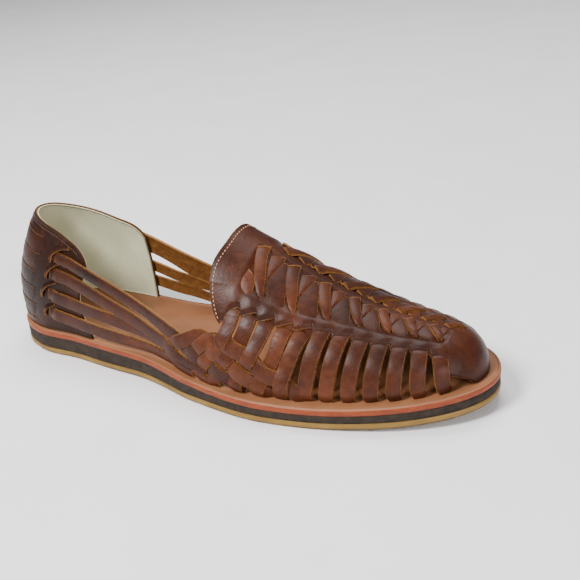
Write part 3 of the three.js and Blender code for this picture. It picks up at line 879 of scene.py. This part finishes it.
# How far a quarter strap stands off: over the counter by the slit's face, less as it goes forward by
# fall over a stretch of x, and sunk at its start, where it goes in through the slit.
def quarterRest(x, fall, start, end):
    proud = (counterSpec["face"] + quarterSpec["proud"]) * (1 - fall * smoothstep(start, end, x))
    return proud - quarterSpec["root"] * (1 - smoothstep(x[0] + 1, x[0] + 7, x))


def makeRunners(side, label, runners, runnerKnots, risers, riserKnots):
    parts = []
    steps = weaveSpec["steps"]
    for path, knots in zip(runners[:2], runnerKnots[:2]):
        lift = weaveLift(steps, knots, -0.3, 0.2)
        parts.append(laidStrap(path, lift, weaveSpec["width"], shades.uniform(-0.5, 0.4), side))
    for path, knots, spec in zip(runners[2:], runnerKnots[2:], quarterSpec["upper"]):
        x = path[:, 0]
        rest = quarterRest(x, 0.75, 64, 112)
        joined = (np.searchsorted(x, 112), quarterSpec["rested"])
        woven = weaveLift(steps, [joined] + knots, quarterSpec["rested"], 0.2)
        lift = rest + (woven - rest) * smoothstep(104, 114, x) - spec["dip"] * smoothstep(119, 125, x)
        width = spec["width"] + spec["widen"] * smoothstep(104, 116, x)
        width = width - spec["narrow"] * smoothstep(116, 124, x)
        parts.append(laidStrap(path, lift, width, shades.uniform(-0.5, 0.4) - spec["darker"], side))
    spec = quarterSpec["lower"]
    for route in lowQuarters[side]:
        path = smoothPath(route, spec["steps"])
        x = path[:, 0]
        lift = quarterRest(x, 0.9, 64, 104) - spec["dip"] * smoothstep(88, 108, x)
        width = spec["width"] - spec["narrow"] * smoothstep(82, 104, x)
        across = acrossAt(x, path[:, 1], side, lift)
        tone = shades.uniform(-0.6, 0.1) - spec["darker"]
        parts.append(strapPart(x, across, lift, width, spec["thick"], spec["dome"], tone))
    t = np.linspace(0, 1, weaveSpec["riserSteps"])
    width = weaveSpec["width"] * (0.8 + 0.12 * np.sin(math.pi * t) - 0.3 * smoothstep(0.5, 0.75, t))
    for i in range(loopCount):
        lift = weaveLift(len(t), riserKnots[i], -0.4, 1.7 - 0.4 * i)
        parts.append(laidStrap(risers[i], lift, width, 0.1 + 0.2 * i, side, 0.4))
    addPiece("woven_runners_" + label, joinParts(parts), [strapLeather])


# Each side strap starts hidden under the vamp's rail, comes out through its slit, bulges by a sine
# squared, and follows the weave's overs and unders from its first crossing down.
def makeSideStraps(side, label, knotsOf):
    spec = sideSpec
    parts = []
    for k in range(spec["count"]):
        along, across = sideRoute(k, side)
        t = np.linspace(0, 1, len(along))
        bulge = spec["bulge"] * np.sin(math.pi * np.clip(t / 0.8, 0, 1)) ** 2
        lift = -0.9 + smoothstep(0, 0.16, t) + bulge * (1 if k >= wovenCount else 0.4)
        knots = knotsOf[k] if k < wovenCount else []
        if knots:
            woven = weaveLift(len(along), knots, 0.3, 1.0)
            first = min(step for step, _ in knots) / len(along)
            lift = lift + (woven - lift) * smoothstep(max(first - 0.25, 0.02), first, t)
        hidden = np.linspace(-1, -0.04, spec["hidden"])
        route = np.concatenate([across[0] + hidden * side * spec["under"], across])
        run = np.concatenate([along[0] + hidden * -1.5, along])
        lift = np.concatenate([np.full(spec["hidden"], spec["deep"]), lift])
        n = spec["surfaced"]
        lift[:n] = spec["deep"] + (lift[n] - spec["deep"]) * smoothstep(5, n, np.arange(n))
        width = spec["width"] + (spec["wovenExtra"] if k < wovenCount else 0)
        width = width + shades.uniform(-spec["vary"], spec["vary"])
        ends = 1 - 0.2 * smoothstep(0.9, 1, np.linspace(0, 1, len(run)))
        parts.append(strapPart(run, route, lift, width * ends, spec["thick"], spec["dome"],
                               shades.uniform(-0.35, 0.55), tuckIn(run, route, lift, side)))
    addPiece("side_straps_" + label, joinParts(parts), [strapLeather])


risers = [smoothPath(route, weaveSpec["riserSteps"]) for route in weaveRisers]
for side, label in ((outer, "outer"), (inner, "inner")):
    routes = weaveRunners + [start + tail for start, tail in zip(quarterStarts[side], quarterTails)]
    runners = [smoothPath(route, weaveSpec["steps"]) for route in routes]
    riserKnots, runnerKnots = weaveKnots(risers, runners)
    makeRunners(side, label, runners, runnerKnots, risers, riserKnots)
    makeSideStraps(side, label, riserKnots[loopCount:])
print("weave made")

# The fishbone as a repeating unit: each kind's left and right edges as (step toward the toe in
# pitches, across, lift). Raised bars lie on top, sunk ones between them, a cut corner over those.
barEdges = {
    "raised": ([(0, 0.09, 1), (0.16, 0.2, 1.2), (0.31, 0.28, 1.35), (0.52, 0.37, 1), (0.72, 0.425, 0.1)],
               [(0.29, 0.02, 1), (0.42, 0.13, 1.2), (0.64, 0.26, 1.3), (0.74, 0.35, 0.9),
                (0.82, 0.425, 0.1)]),
    "sunk": ([(0.5, 0.12, 0.1), (0.6, 0.24, 0.2), (0.74, 0.34, 0.3), (1.0, 0.41, 0.3), (1.32, 0.445, 0.0)],
             [(0.95, 0.07, 0.7), (1.13, 0.15, 0.5), (1.27, 0.25, 0.4), (1.38, 0.35, 0.3), (1.42, 0.44, 0.0)]),
    "corner": ([(0.46, 0.1, 0.75), (0.53, 0.16, 0.75), (0.61, 0.23, 0.7), (0.68, 0.28, 0.6)],
               [(0.8, 0.03, 0.85), (0.86, 0.09, 0.85), (0.8, 0.19, 0.75), (0.72, 0.28, 0.6)]),
}
barSpec = {"starts": [151.3, 166.4, 181.2, 195.0, 207.8, 219.8, 230.8], "last": 241.0,
           "depth": [1.0, 0.97, 0.83, 0.7, 0.62, 0.58, 0.55],
           "thick": {"raised": 1.2, "sunk": 0.9, "corner": 0.9},
           "tone": {"raised": 0.25, "sunk": -0.75, "corner": -0.1}}


def makeBars(spec):
    parts = []
    ends = spec["starts"][1:] + [spec["last"]]
    for side in (outer, inner):
        shift = 0.0 if side == outer else 0.5
        for start, end, depth in zip(spec["starts"], ends, spec["depth"]):
            for kind, edges in barEdges.items():
                lines = []
                for edge in edges:
                    path = smoothPath(edge, 26)
                    x = start + (end - start) * (path[:, 0] + shift)
                    lines.append(np.stack([x, side * path[:, 1] * depth, path[:, 2]], -1))
                tone = spec["tone"][kind] + shades.uniform(-0.25, 0.25)
                parts.append(patchPart(lines[0], lines[1], spec["thick"][kind], 0.3, tone))
        flap = [smoothPath(edge, 16) for edge in (
            [(153.2, 0.28, 1.0), (151.9, 0.37, 0.9), (155.2, 0.45, 0.2)],
            [(156.0, 0.3, 1.0), (158.0, 0.36, 0.9), (157.4, 0.44, 0.2)])]
        for edge in flap:
            edge[:, 1] *= side
        parts.append(patchPart(flap[0], flap[1], 1.0, 0.3, 0.5))
    addPiece("vamp_bars", joinParts(parts), [barLeather])


makeBars(barSpec)
print("vamp made")


# Short rounded stitches of a given length along a path of points, dipping at both ends: a tube of
# eight sides whose radius falls off at its ends.
def stitchPart(starts, ends, out, radius):
    t = np.linspace(0, 1, 6)
    around = np.linspace(0, 2 * math.pi, 8, endpoint=False)
    run = unit(ends - starts)
    across = unit(np.cross(out, run))
    middle = starts[:, None] + (ends - starts)[:, None] * t[None, :, None]
    middle = middle + out[:, None] * (radius * (np.sin(math.pi * t) - 0.35))[None, :, None]
    fat = radius * np.sqrt(np.clip(1 - (2 * t - 1) ** 4, 0.08, 1))
    ring = (np.cos(around)[None, None, :, None] * across[:, None, None]
            + np.sin(around)[None, None, :, None] * out[:, None, None])
    points = middle[:, :, None] + ring * fat[None, :, None, None]
    count, rings, sides = points.shape[:3]
    index = np.arange(count * rings * sides).reshape(count, rings, sides)
    loop = np.concatenate([index, index[:, :, :1]], 2)
    wall = np.stack([loop[:, :-1, 1:], loop[:, 1:, 1:], loop[:, 1:, :-1], loop[:, :-1, :-1]], -1)
    caps = []
    for row, order in ((0, 1), (rings - 1, -1)):
        r = index[:, row]
        for i in range(1, 4):
            cap = np.stack([r[:, i - 1], r[:, i], r[:, 7 - i], r[:, 8 - i if i > 1 else 7]], -1)
            caps.append(cap[:, ::order])
    faces = np.concatenate([wall.reshape(-1, 4)] + caps)
    return {"points": points.reshape(-1, 3), "faces": faces, "values": {"tone": np.zeros(points.size // 3)}}


# Stitches along a line on the last, every pitch, each two thirds of it long.
def stitchesAlong(along, across, lift, pitch, radius):
    path = lastPoint(along, across, lift)
    lifted = lastPoint(along, across, lift + 1)
    length = pitch * 0.66
    run = np.concatenate([[0], np.cumsum(np.linalg.norm(np.diff(path, axis=0), axis=1))])
    at = np.arange(pitch / 2, run[-1] - length, pitch)
    place = lambda d, p: np.stack([np.interp(d, run, p[:, i]) for i in range(3)], -1)
    out = unit(place(at + length / 2, lifted) - place(at + length / 2, path))
    return stitchPart(place(at, path), place(at + length, path), out, radius)


stitchSpec = {"tongueIn": 2.0, "tonguePitch": 1.9, "collarIn": 1.5, "collarPitch": 1.5, "radius": 0.25}


# One row follows the tongue's rear edge and the other the collar, each a little inside it.
def makeStitches(spec):
    share = np.linspace(-0.985, 0.985, 600)
    rear = vampRear(share) + spec["tongueIn"]
    across = share * readTable(vampTable, "x", "across", rear)
    lift = vampSpec["face"] + vampRelief(rear, across)
    tongue = stitchesAlong(rear, across, lift, spec["tonguePitch"], spec["radius"])
    turn = np.linspace(-0.97, 0.97, 700)
    along = (collarTable["x"][-1] - spec["collarIn"]) * turn ** 2
    height = readTable(collarTable, "x", "height", along) - spec["collarIn"]
    across = acrossAt(along, height, np.where(turn < 0, -1.0, 1.0), counterSpec["face"])
    collar = stitchesAlong(along, across, counterSpec["face"], spec["collarPitch"], spec["radius"] * 0.85)
    addPiece("tongue_stitches", tongue, [waxedThread])
    addPiece("collar_stitches", collar, [darkThread])


makeStitches(stitchSpec)
print("stitches made")


def makeFloor():
    size = 3.0
    mesh = bpy.data.meshes.new("floor")
    corners = [(-size, -size, 0), (size, -size, 0), (size, size, 0), (-size, size, 0)]
    mesh.from_pydata(corners, [], [(0, 1, 2, 3)])
    material, add, coords = newMaterial("paleMattePaper")
    tint = add("TexNoise", {"Scale": 14, "Detail": 3}, coords)
    stops = [(0.3, srgb("f5f2f2")), (0.7, srgb("faf8f8"))]
    color = add("ValToRGB", {"stops": stops}, {"Fac": tint})
    finishMaterial(add, {"Roughness": 0.9}, {"Base Color": color})
    mesh.materials.append(material)
    floor = bpy.data.objects.new("floor", mesh)
    bpy.context.scene.collection.objects.link(floor)


lights = [
    {"name": "key", "place": (-0.35, -0.75, 0.95), "size": 0.4, "power": 25.0},
    {"name": "top", "place": (-0.2, 0.6, 1.6), "size": 1.1, "power": 24.0},
    {"name": "fill", "place": (0.9, -0.6, 0.5), "size": 0.7, "power": 8.0},
]


def makeLights(specs):
    for spec in specs:
        data = bpy.data.lights.new(spec["name"], "AREA")
        data.shape = "DISK"
        data.size = spec["size"]
        data.energy = spec["power"]
        light = bpy.data.objects.new(spec["name"], data)
        place = Vector(spec["place"])
        aim = (Vector((0, 0, 0.03)) - place).to_track_quat("-Z", "Y")
        light.matrix_world = Matrix.Translation(place) @ aim.to_matrix().to_4x4()
        bpy.context.scene.collection.objects.link(light)
    world = bpy.data.worlds.new("studio")
    world.use_nodes = True
    background = world.node_tree.nodes["Background"]
    background.inputs["Color"].default_value = srgb("eef0f4")
    background.inputs["Strength"].default_value = 0.28
    bpy.context.scene.world = world


makeFloor()
makeLights(lights)
print("stage set")
